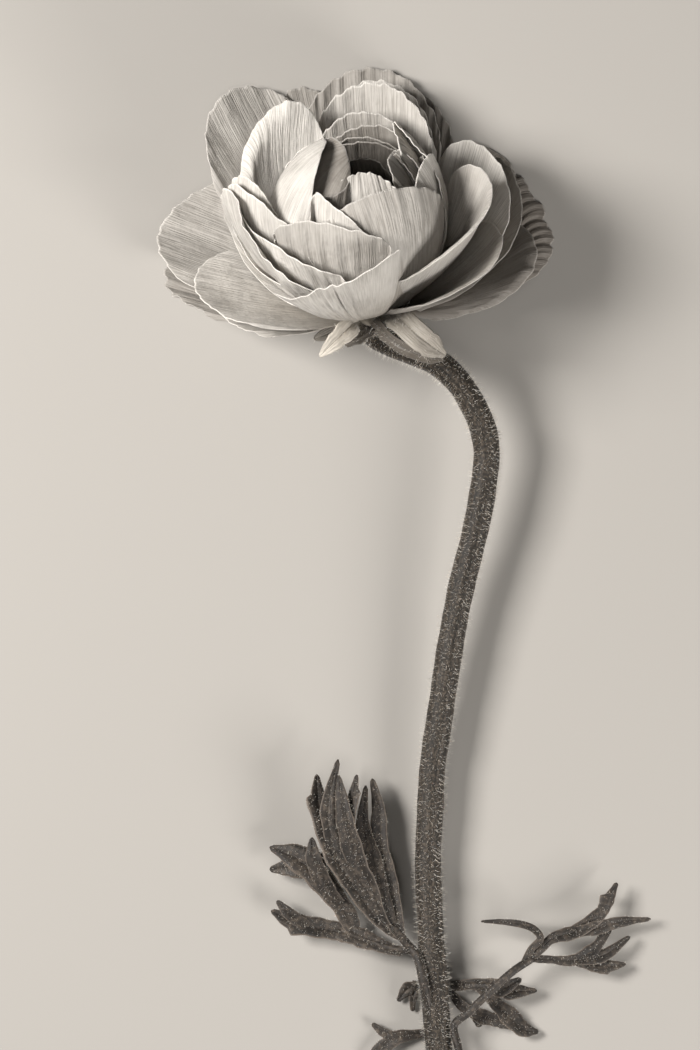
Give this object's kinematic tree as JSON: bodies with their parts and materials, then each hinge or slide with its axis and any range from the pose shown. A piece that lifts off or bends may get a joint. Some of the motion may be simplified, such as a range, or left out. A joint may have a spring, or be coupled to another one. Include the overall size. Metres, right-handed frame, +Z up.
{
  "type": "ranunculus flower",
  "caption": "Cut ranunculus lying down: an open bloom of cupped, layered petals on its curved hairy stem, with small sepals and deeply cut leaves.",
  "frame": {"origin": "on the surface that the flower lies on, under the middle of its bounding box", "axes": "+Y along the stem towards the bloom, +Z up from the surface, +X to the right as seen from above with the bloom at the top"},
  "size_m": [0.11, 0.2482, 0.0572],
  "materials": {
    "petals": "satin, finely veined",
    "heart": "matt, dark",
    "sepals": "soft, hairy",
    "stem": "soft, hairy",
    "leaves": "matt, hairy"
  },
  "bodies": {
    "root": {"bloom": "petals", "heart": "heart", "calyx": "sepals", "stem": "stem", "leaf_left": "leaves", "leaf_right": "leaves", "leaf_lower": "leaves"}
  },
  "joints": []
}
